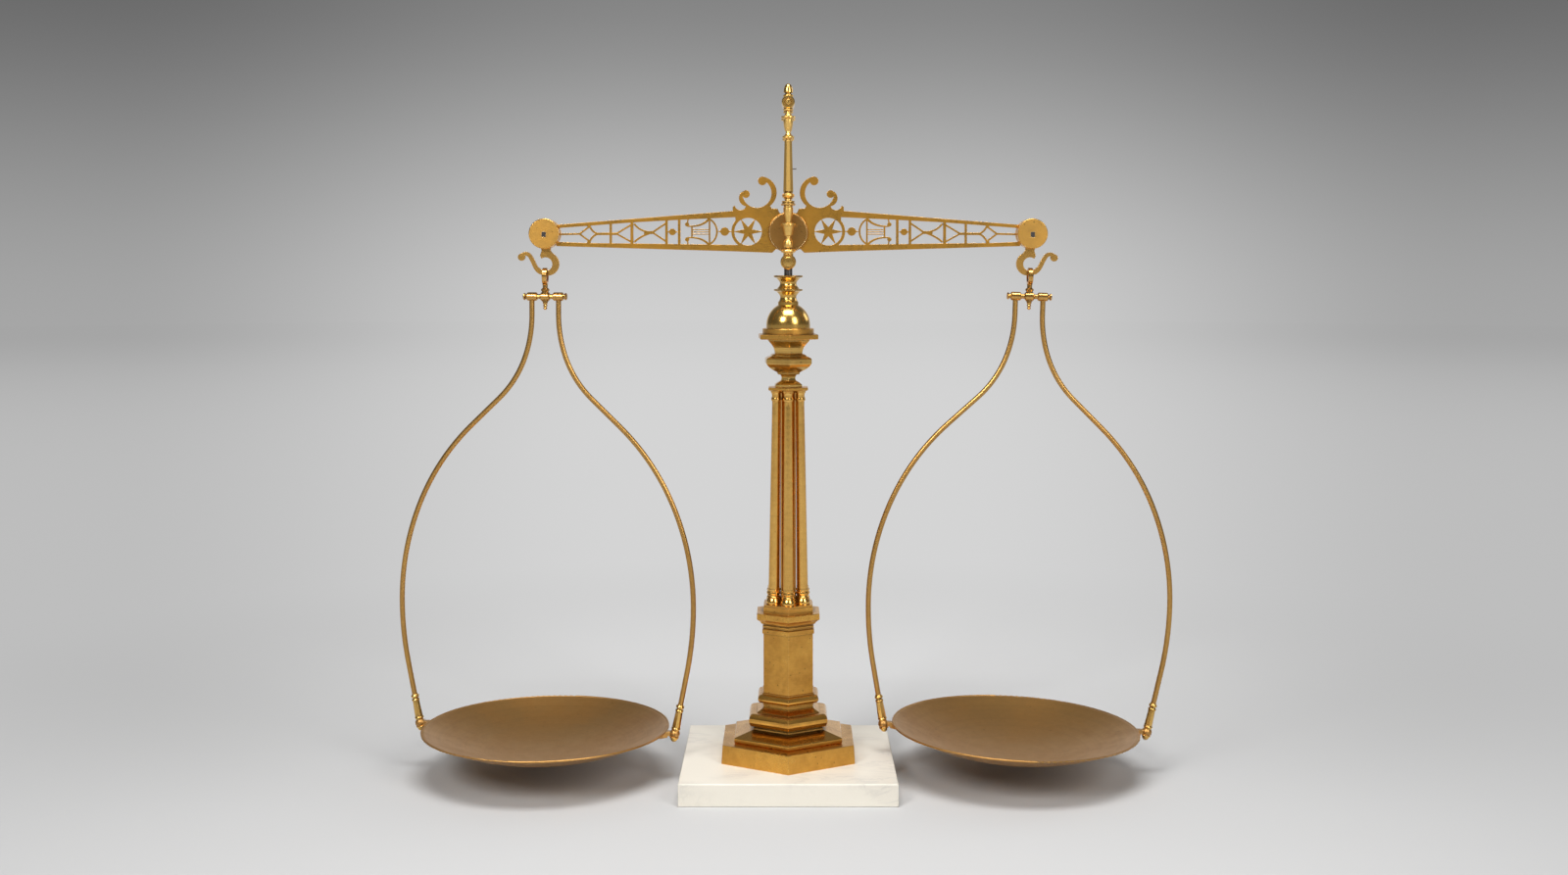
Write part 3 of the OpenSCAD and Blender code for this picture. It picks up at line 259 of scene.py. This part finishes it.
def brass(name, clean, aged, rough, lines, lathe=False, centre=(0, 0, 0), turn=(0, 0, 0),
          line_depth=0.000003, cloud=26.0, amount=0.8, spots=0.5, dirt=0.75, edge=0.55, dulling=0.16,
          bright_edge=(0.95, 0.72, 0.36), arrises=True):
    """A brass finish.

    clean, aged: colours. rough: roughness where clean. lines: stretch of the brush lines in
    waves for each metre along X, Y and Z, or one number for lathe lines round the Z axis through
    centre, turned by turn. arrises: whether the part gets thin bright edges, which are partly
    rubbed wear and partly a painted highlight. The other values scale the shared effects.
    """
    made = bpy.data.materials.new(name)
    made.use_nodes = True
    tree = made.node_tree
    shader = tree.nodes["Principled BSDF"]
    place = add(tree, "TexCoord").outputs["Object"]
    centred = add(tree, "Mapping", {"Vector": place, "Location": centre, "Rotation": turn},
                  vector_type="TEXTURE").outputs[0]
    patina = use(tree, tarnish, {"Vector": place, "Cloud Scale": cloud, "Mottle Scale": 160.0,
                                 "Spot Scale": 150.0, "Amount": amount, "Spots": spots,
                                 "Clean": clean, "Aged": aged, "Dark": BLACKISH})
    if lathe:
        worked = use(tree, lathe_lines, {"Vector": centred, "Scale": lines})["Lines"]
    else:
        worked = use(tree, brush_lines, {"Vector": centred, "Stretch": lines})["Lines"]
    corner_shade_mask = use(tree, corner_dirt, {"Reach": CORNER_SHADE_REACH, "Amount": dirt})["Corner Shade"]
    line_shade = fade(tree, worked, 0.3, 0.7, 0.93, 1.04)
    lined = blend_colour(tree, 1.0, patina["Color"], line_shade, "MULTIPLY")
    bump = add(tree, "Bump", {"Height": worked, "Distance": line_depth, "Strength": 1.0})
    if arrises:
        rim = use(tree, edge_wear_and_highlight, {"Radius": EDGE_ROUND, "Sharpness": 6.0})
        # partly rubbed wear, partly painted highlight: a paler colour is blended in along every arris
        lined = blend_colour(tree, calc(tree, "MULTIPLY", rim["Edge"], edge), lined, bright_edge)
        put(tree, rim["Normal"], bump.inputs["Normal"])
    # painted shade: the ambient occlusion mask darkens the inner corners towards near black
    put(tree, blend_colour(tree, corner_shade_mask, lined, BLACKISH), shader.inputs["Base Color"])
    rougher = calc(tree, "ADD", rough, calc(tree, "MULTIPLY", patina["Age"], dulling))
    rougher = calc(tree, "ADD", rougher, calc(tree, "MULTIPLY", corner_shade_mask, 0.25))
    rougher = calc(tree, "ADD", rougher, fade(tree, worked, 0.3, 0.7, 0.03, -0.03))
    put(tree, rougher, shader.inputs["Roughness"])
    put(tree, bump.outputs[0], shader.inputs["Normal"])
    shader.inputs["Metallic"].default_value = 1.0
    shader.inputs["Coat Weight"].default_value = LACQUER
    shader.inputs["Coat Roughness"].default_value = 0.12
    return made


def finish(material, *names):
    """Gives the named CAD parts a material, on the slots they already have."""
    for name in names:
        for slot in nodes[name].material_slots:
            slot.material = material
    print(material.name, "on", ", ".join(names))


# %% [markdown]
# ### Satin brass of the stand
# The six-sided pieces were filed and papered flat before lacquering. On the shaft the lines run
# up and down, on the plates and mouldings they run round, which on a flat side is sideways.

# %% Stand
SATIN_CLEAN = (0.80, 0.43, 0.085)
SATIN_AGED = (0.56, 0.27, 0.048)
FINE = 2600.0             # lines for each metre across the brush
LONG = 60.0               # lines for each metre along it

plates = brass("satin brass plates", SATIN_CLEAN, SATIN_AGED, 0.24, (LONG, LONG, FINE))
finish(plates, "foot_plate", "pedestal_cap", "capital_plate", "gallery_plate")
mouldings = brass("satin brass mouldings", SATIN_CLEAN, SATIN_AGED, 0.16, (LONG, LONG, FINE), dirt=0.9)
finish(mouldings, "plinth")
shaft = brass("satin brass shaft", SATIN_CLEAN, SATIN_AGED, 0.27, (LONG, LONG, FINE), cloud=34.0)
finish(shaft, "pedestal")
colonnette = brass("colonnette brass", (0.88, 0.52, 0.135), (0.64, 0.34, 0.07), 0.13, (LONG, LONG, FINE),
                   dirt=0.85, amount=0.5, spots=0.2, arrises=False)
finish(colonnette, "column_core", "colonnettes")

# %% [markdown]
# ### Satin brass of the beam
# The beam was sawn from plate and brushed along its length, so its lines run along X. Its two
# centre discs are darker, with a brown face that turned lines cross in rings.

# %% Beam
beam = brass("beam brass", (0.80, 0.42, 0.075), (0.58, 0.27, 0.035), 0.25, (LONG, FINE, FINE), cloud=18.0,
             edge=0.25)
finish(beam, "beam_plate")
HALF_TURN = math.pi / 2
BEAM_AXIS = (0, 0, 0.5537)
disc = brass("disc brass", (0.50, 0.26, 0.07), (0.33, 0.155, 0.035), 0.28, 1800.0, lathe=True,
             centre=BEAM_AXIS, turn=(HALF_TURN, 0, 0), edge=1.0)
finish(disc, "disc_front", "disc_back")
for side, sign in (("left", -1), ("right", 1)):
    low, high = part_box("end_box_" + side)
    middle = (low + high) / 2
    drum = brass("drum brass " + side, (0.90, 0.51, 0.125), (0.70, 0.36, 0.07), 0.27, 1500.0, lathe=True,
                 centre=middle, turn=(HALF_TURN, 0, 0))
    finish(drum, "end_box_" + side)

# %% [markdown]
# ### Polished turned brass
# The turned pieces were polished on the lathe. They are much smoother than the stand, and their
# lines run round the axis they were turned on, which is each piece's own.

# %% Turned pieces
POLISHED_CLEAN = (0.80, 0.50, 0.14)
POLISHED_AGED = (0.56, 0.32, 0.07)


def turned_brass(name, centre, turn=(0, 0, 0), rough=0.13, clean=POLISHED_CLEAN, aged=POLISHED_AGED, **more):
    """Polished brass with lathe lines round the axis through centre."""
    return brass(name, clean, aged, rough, 1400.0, lathe=True, centre=centre, turn=turn,
                 line_depth=0.000002, amount=0.5, spots=0.25, dulling=0.1, arrises=False, **more)


column_turned = turned_brass("turned brass on the column", (0, 0, 0), rough=0.19, clean=(0.76, 0.47, 0.12))
finish(column_turned, "dome", "collar")
urn_polished = brass("polished six-sided brass", POLISHED_CLEAN, POLISHED_AGED, 0.15,
                     (LONG, LONG, FINE), dirt=0.9)
finish(urn_polished, "urn")
finish(turned_brass("turned brass of the finial", (0, 0, 0), rough=0.2), "acorn_finial")
for name in ("shear_front", "shear_back"):
    low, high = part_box(name)
    # painted highlight: the shears are the same polished brass as the other turned pieces, given a lighter
    # colour to stand in for the bright streaks of light down them
    finish(turned_brass("turned brass of " + name, (low + high) / 2, rough=0.34, clean=(0.95, 0.61, 0.18),
                        aged=(0.76, 0.44, 0.11)), name)
for name in ("lower_boss", "upper_boss", "lower_boss_screws", "upper_boss_screws"):
    low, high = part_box(name)
    finish(turned_brass("turned brass of " + name, (low + high) / 2, (HALF_TURN, 0, 0), rough=0.24), name)

# %% [markdown]
# ### Hanging gear
# Hooks, eyes, cross bars, knobs and barrels on each side carry the pans. The cross bar and what
# sits on it was turned on an axis along the bar, so its lathe lines run round X. The bent rods
# are rubbed with emery in no one direction. They are satin, because a thin rod with a sharp
# highlight breaks up into dashes, which a satin one doesn't.

# %% Hanging gear
EVEN = (500.0, 500.0, 500.0)        # emery marks without a direction
hook_brass = brass("hook brass", (0.78, 0.44, 0.11), (0.58, 0.30, 0.06), 0.25, EVEN, amount=0.5, spots=0.1,
                   line_depth=0.0, edge=0.2)
rod_brass = brass("rod brass", (0.58, 0.33, 0.09), (0.43, 0.22, 0.055), 0.29, EVEN, cloud=8.0, amount=0.7,
                  spots=0.0, dirt=0.0, line_depth=0.0, arrises=False)
for side in ("left", "right"):
    finish(hook_brass, "hook_" + side)
    low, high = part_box("crossbar_" + side)
    bar_axis = (low + high) / 2
    bar = turned_brass("turned brass of the " + side + " bar", bar_axis, (0, HALF_TURN, 0), rough=0.17,
                       clean=(0.64, 0.36, 0.10), aged=(0.42, 0.21, 0.05), dirt=1.0)
    finish(bar, "crossbar_" + side, "end_knobs_" + side, "barrels_" + side)
    drop = turned_brass("turned brass of the " + side + " eye", bar_axis, rough=0.17, clean=(0.70, 0.40, 0.11),
                        aged=(0.48, 0.24, 0.055), dirt=1.0)
    finish(drop, "eye_" + side, "drop_nut_" + side)
    finish(rod_brass, "bow_outer_" + side, "bow_inner_" + side)
    low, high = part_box("sockets_" + side)
    socket_brass = brass("socket brass " + side, POLISHED_CLEAN, POLISHED_AGED, 0.17, (LONG, LONG, FINE))
    finish(socket_brass, "sockets_" + side, "pan_nuts_" + side)

# %% [markdown]
# ### Pans
# The pans were spun from sheet, and years of use have dulled them to a matte brown. The spinning
# tool left rings round the middle, so the rings are centred on each pan and lean with it. Use
# has scoured the middle a little lighter, and the colour drifts in wide patches. A rough, weak
# coat stands for the film of wax and dust on them. It whitens the part nearest to the camera,
# which is seen at a low angle.
# The rim has a thin paler golden line blended into its colour, which is a painted highlight where the edge
# catches the light.

# %% Pan recipe
def pan_finish(name, centre, lean):
    """Brown spun brass with rings round centre, leaning by lean radians about Y."""
    made = bpy.data.materials.new(name)
    made.use_nodes = True
    tree = made.node_tree
    shader = tree.nodes["Principled BSDF"]
    place = add(tree, "TexCoord").outputs["Object"]
    centred = add(tree, "Mapping", {"Vector": place, "Location": centre, "Rotation": (0, lean, 0)},
                  vector_type="TEXTURE").outputs[0]
    patina = use(tree, tarnish, {"Vector": place, "Cloud Scale": 13.0, "Mottle Scale": 70.0,
                                 "Spot Scale": 110.0, "Amount": 0.9, "Spots": 0.25,
                                 "Clean": (0.56, 0.30, 0.080), "Aged": (0.41, 0.20, 0.045),
                                 "Dark": (0.12, 0.06, 0.02)})
    spun = use(tree, lathe_lines, {"Vector": centred, "Scale": 900.0})
    wide = use(tree, lathe_lines, {"Vector": centred, "Scale": 90.0})["Lines"]
    rim = use(tree, edge_wear_and_highlight, {"Radius": 0.0006, "Sharpness": 5.0})
    ring_shade = fade(tree, spun["Lines"], 0.3, 0.7, 0.96, 1.03)
    ringed = blend_colour(tree, 1.0, patina["Color"], ring_shade, "MULTIPLY")
    wide_shade = fade(tree, wide, 0.35, 0.65, 0.96, 1.03)
    ringed = blend_colour(tree, 1.0, ringed, wide_shade, "MULTIPLY")
    worn = fade(tree, spun["Radius"], 0.095, 0.02, 0.0, 0.3)
    scoured = blend_colour(tree, worn, ringed, (0.62, 0.36, 0.12))
    # painted highlight: a thin paler golden line along the rim
    edge_worn_and_highlighted = blend_colour(tree, calc(tree, "MULTIPLY", rim["Edge"], 0.45), scoured, (0.78, 0.56, 0.22))
    put(tree, edge_worn_and_highlighted, shader.inputs["Base Color"])
    rough = calc(tree, "ADD", 0.40, calc(tree, "MULTIPLY", patina["Age"], 0.14))
    put(tree, calc(tree, "ADD", rough, fade(tree, spun["Lines"], 0.3, 0.7, 0.02, -0.02)),
        shader.inputs["Roughness"])
    bump = add(tree, "Bump", {"Height": spun["Lines"], "Distance": 0.000003, "Strength": 1.0,
                              "Normal": rim["Normal"]})
    put(tree, bump.outputs[0], shader.inputs["Normal"])
    shader.inputs["Metallic"].default_value = 1.0
    shader.inputs["Coat Weight"].default_value = 0.5
    shader.inputs["Coat Roughness"].default_value = 0.4
    return made


# %% Pans
RIGHT_LEAN = math.radians(1.8)
for side, lean in (("left", 0.0), ("right", RIGHT_LEAN)):
    low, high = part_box("pan_" + side)
    spun_brass = pan_finish("spun pan brass " + side, (low + high) / 2, lean)
    finish(spun_brass, "pan_" + side, "lugs_" + side)

# %% [markdown]
# ## Steel
# The post between the shears, the knife edges and their bearings are steel, which has gone
# nearly black under old oil. It is metal too, only dark, with a few brown rust freckles.

# %% Steel
def steel_finish(name, clean, rough):
    """Dark oiled steel with freckles of rust."""
    made = bpy.data.materials.new(name)
    made.use_nodes = True
    tree = made.node_tree
    shader = tree.nodes["Principled BSDF"]
    place = add(tree, "TexCoord").outputs["Object"]
    patina = use(tree, tarnish, {"Vector": place, "Cloud Scale": 60.0, "Mottle Scale": 260.0,
                                 "Spot Scale": 420.0, "Amount": 0.8, "Spots": 0.6, "Clean": clean,
                                 "Aged": (0.05, 0.04, 0.035), "Dark": (0.09, 0.035, 0.012)})
    drawn = use(tree, brush_lines, {"Vector": place, "Stretch": (FINE, FINE, LONG)})["Lines"]
    rim = use(tree, edge_wear_and_highlight, {"Radius": 0.0003, "Sharpness": 6.0})
    edge_worn_and_highlighted = blend_colour(tree, calc(tree, "MULTIPLY", rim["Edge"], 0.6), patina["Color"], (0.5, 0.5, 0.5))
    put(tree, edge_worn_and_highlighted, shader.inputs["Base Color"])
    put(tree, calc(tree, "ADD", rough, calc(tree, "MULTIPLY", patina["Age"], 0.2)),
        shader.inputs["Roughness"])
    bump = add(tree, "Bump", {"Height": drawn, "Distance": 0.000003, "Strength": 1.0,
                              "Normal": rim["Normal"]})
    put(tree, bump.outputs[0], shader.inputs["Normal"])
    shader.inputs["Metallic"].default_value = 1.0
    return made


oiled = steel_finish("oiled steel", (0.13, 0.125, 0.12), 0.30)
finish(oiled, "tie_rod", "tie_nut", "bearing_front", "bearing_back", "index_pin", "centre_knife",
       "pointer", "end_knife_left", "end_knife_right", "hook_bearing_left", "hook_bearing_right")

# %% [markdown]
# ## Marble
# The slab is honed white marble with a warm tone and faint grey veins that drift across it. The
# veins are thin bands of a strongly distorted noise: where the noise is near one half it makes
# a wandering line. A second, wider band puts a soft grey shadow round some of them.

# %% Marble
marble = bpy.data.materials.new("honed marble")
marble.use_nodes = True
tree = marble.node_tree
shader = tree.nodes["Principled BSDF"]
place = add(tree, "TexCoord").outputs["Object"]
skewed = add(tree, "Mapping", {"Vector": place, "Rotation": (0.3, 0.5, 0.6), "Scale": (1.0, 2.2, 1.0)},
             vector_type="POINT").outputs[0]
drift = noise(tree, skewed, 9.0, 6.0, 0.6, 1.6)
off_line = calc(tree, "ABSOLUTE", calc(tree, "SUBTRACT", drift, 0.5))
thin_vein = fade(tree, off_line, 0.035, 0.0)
soft_vein = fade(tree, off_line, 0.14, 0.0)
patches = fade(tree, noise(tree, place, 14.0, 3.0, 0.5, 0.5), 0.42, 0.68)
crystals = fade(tree, noise(tree, place, 900.0, 2.0, 0.5), 0.3, 0.7)
base = blend_colour(tree, patches, (0.77, 0.725, 0.63), (0.72, 0.67, 0.58))
base = blend_colour(tree, calc(tree, "MULTIPLY", soft_vein, calc(tree, "MULTIPLY", patches, 0.35)), base,
                    (0.66, 0.62, 0.55))
base = blend_colour(tree, calc(tree, "MULTIPLY", thin_vein, calc(tree, "MULTIPLY", patches, 0.4)), base,
                    (0.46, 0.44, 0.40))
base = blend_colour(tree, calc(tree, "MULTIPLY", crystals, 0.08), base, (0.90, 0.87, 0.80))
rim = use(tree, edge_wear_and_highlight, {"Radius": 0.0009, "Sharpness": 3.0})
put(tree, base, shader.inputs["Base Color"])
put(tree, fade(tree, crystals, 0.0, 1.0, 0.34, 0.42), shader.inputs["Roughness"])
bump = add(tree, "Bump", {"Height": crystals, "Distance": 0.000004, "Strength": 1.0, "Normal": rim["Normal"]})
put(tree, bump.outputs[0], shader.inputs["Normal"])
finish(marble, "marble_base")


# %% [markdown]
# ## Floor and background
# The picture has a pale floor that runs without an edge into a grey background, darker towards
# the top and the sides. A curved paper sweep would do that from the front, but it would stand in
# the way from behind. So the floor is one wide round sheet, and the background is the world's
# own colour. Near the object the floor is lit and takes shadows. Further out it fades to an
# even glow that has the background's colour where the two meet, so that no horizon shows. Both
# darken sideways by the same rule, the distance off the middle line over the depth. This darkening
# is painted shade, where the studio's light falls off to the sides.

# %% Floor sheet
FLOOR_RADIUS = 14.0


def floor_sheet(name, radius_out, rings=24, spokes=96):
    """A flat disc: radius grows with the square of the first parameter, the second is the angle."""
    share = np.linspace(0.0, 1.0, rings) ** 2
    angle = np.linspace(0.0, 2 * math.pi, spokes, endpoint=False)
    grown, around = np.meshgrid(share[1:] * radius_out, angle, indexing="ij")
    points = np.stack([grown * np.cos(around), grown * np.sin(around), np.zeros_like(grown)], axis=-1)
    points = np.vstack([np.zeros((1, 3)), points.reshape(-1, 3)])
    number = 1 + np.arange((rings - 1) * spokes).reshape(rings - 1, spokes)
    following = np.roll(number, -1, axis=1)
    quads = np.stack([number[:-1], number[1:], following[1:], following[:-1]], axis=-1).reshape(-1, 4)
    fans = np.stack([np.zeros(spokes, int), number[0], following[0]], axis=-1)
    mesh = bpy.data.meshes.new(name)
    mesh.from_pydata(points.tolist(), [], fans.tolist() + quads.tolist())
    sheet = bpy.data.objects.new(name, mesh)
    bpy.context.scene.collection.objects.link(sheet)
    return sheet


floor = floor_sheet("floor", FLOOR_RADIUS)
print("floor of", len(floor.data.polygons), "faces")

# %% Floor colour
FLOOR_TONE = 0.545        # round the object, where the lamps are at full strength
BACK_TONE = 0.80          # a metre behind it, where they are weaker
FAR_TONE = 0.66           # a few metres behind the object
EDGE_TONE = 0.62          # where the floor meets the background
# painted shade: SIDE_LOSS darkens the floor and the background far out to the sides
SIDE_LOSS = 0.39          # how much darker the paper is far out to the sides
paper = bpy.data.materials.new("floor paper")
paper.use_nodes = True
tree = paper.node_tree
tree.nodes.remove(tree.nodes["Principled BSDF"])
place = add(tree, "TexCoord").outputs["Object"]
spread = add(tree, "SeparateXYZ", {0: place}).outputs
away = add(tree, "VectorMath", {0: place}, operation="LENGTH").outputs["Value"]
depth = calc(tree, "ADD", calc(tree, "ABSOLUTE", spread[1]), 1.75)
sideways = calc(tree, "DIVIDE", calc(tree, "ABSOLUTE", spread[0]), depth)
backward = calc(tree, "DIVIDE", spread[1], away)
loss = calc(tree, "ADD", fade(tree, backward, -0.3, 0.5, 0.06, 0.22), fade(tree, away, 1.0, 12.0, 0.0, 0.17))
# painted shade: the floor's colour darkens out to the sides
painted_side_shade = calc(tree, "SUBTRACT", 1.0, calc(tree, "MULTIPLY", fade(tree, sideways, 0.08, 0.40), loss))
lit_tone = calc(tree, "MULTIPLY", painted_side_shade, fade(tree, spread[1], -0.2, 1.0, FLOOR_TONE, BACK_TONE))
far_tone = calc(tree, "MULTIPLY", painted_side_shade, fade(tree, away, 3.0, 12.5, FAR_TONE, EDGE_TONE))
near = add(tree, "BsdfDiffuse", {"Color": lit_tone})
far = add(tree, "Emission", {"Color": far_tone, "Strength": 1.0})
share = fade(tree, away, 0.45, 1.3)
both = add(tree, "MixShader", {0: share, 1: near.outputs[0], 2: far.outputs[0]})
put(tree, both.outputs[0], tree.nodes["Material Output"].inputs["Surface"])
floor.data.materials.append(paper)
print(paper.name, "fades from", FAR_TONE, "to", EDGE_TONE)

# %% [markdown]
# The world has three jobs, and Light Path tells them apart. Camera rays see the grey paper
# behind the object. Mirrored rays see a dark studio with bright paper straight behind, which
# gives round brass its dark edges and the pans their even tone. All other rays get a weak soft
# light, mostly from the paper's side, so that the shadows stay deep under the pans.

# %% World
world = bpy.data.worlds.new("studio")
bpy.context.scene.world = world
world.use_nodes = True
tree = world.node_tree
background = tree.nodes["Background"]
looking = add(tree, "TexCoord").outputs["Generated"]
way = add(tree, "SeparateXYZ", {0: looking}).outputs
LOW_TONE = 0.63           # where the background meets the floor
HIGH_TONE = 0.22          # at the top of the picture
upward = fade(tree, way[2], -0.045, 0.175, LOW_TONE, HIGH_TONE)
sideways = calc(tree, "DIVIDE", calc(tree, "ABSOLUTE", way[0]), calc(tree, "ABSOLUTE", way[1]))
side_loss = fade(tree, way[1], -0.3, 0.5, SIDE_LOSS - 0.16, SIDE_LOSS)
paper_dark = calc(tree, "SUBTRACT", 1.0, calc(tree, "MULTIPLY", fade(tree, sideways, 0.08, 0.40), side_loss))
paper_seen = add(tree, "CombineColor", {0: 0.0, 1: 0.0, 2: calc(tree, "MULTIPLY", upward, paper_dark)},
                 mode="HSV").outputs[0]
overhead = fade(tree, way[2], 0.15, 0.9)
behind = fade(tree, way[1], 0.66, 0.93)
mirrored = blend_colour(tree, behind, (0.115, 0.11, 0.105), (0.66, 0.66, 0.66))
mirrored = blend_colour(tree, overhead, mirrored, (0.16, 0.16, 0.16))
half_behind = fade(tree, way[1], -0.25, 0.55)
spread_light = blend_colour(tree, half_behind, (0.095, 0.093, 0.09), (0.36, 0.36, 0.36))
path = add(tree, "LightPath").outputs
lit = blend_colour(tree, path["Is Glossy Ray"], spread_light, mirrored)
seen = blend_colour(tree, path["Is Camera Ray"], lit, paper_seen)
put(tree, seen, background.inputs["Color"])
background.inputs["Strength"].default_value = 1.0
print("world of", len(tree.nodes), "nodes")


# %% [markdown]
# ## Lamps
# A soft box stands to the left of the camera and above it. It makes the bright spot on the dome
# and the streak down each colonnette. A weaker one on the right keeps the other sides open. A
# panel overhead, a little in front, makes the shadows right under the pans. It isn't straight
# above, because the far walls of the pans would mirror it. A weak one at the back on the right
# lights the far side.

# %% Lamps
def soft_box(name, place, aim, width, height, power):
    """A rectangular area lamp at place that faces aim."""
    lamp = bpy.data.lights.new(name, "AREA")
    lamp.shape = "RECTANGLE"
    lamp.size = width
    lamp.size_y = height
    lamp.energy = power
    held = bpy.data.objects.new(name, lamp)
    held.location = place
    held.rotation_euler = (Vector(aim) - Vector(place)).to_track_quat("-Z", "Y").to_euler()
    bpy.context.scene.collection.objects.link(held)
    print(name, power, "W")


MIDDLE = (0, 0, 0.35)
soft_box("key box", (-1.15, -1.9, 1.65), MIDDLE, 0.85, 0.85, 34)
soft_box("fill box", (1.35, -1.8, 1.35), MIDDLE, 0.7, 1.2, 23.5)
soft_box("overhead panel", (0.0, -0.65, 2.1), (0, 0, 0), 1.2, 0.8, 32)
soft_box("back box", (2.0, 1.3, 1.3), MIDDLE, 0.9, 0.9, 5)
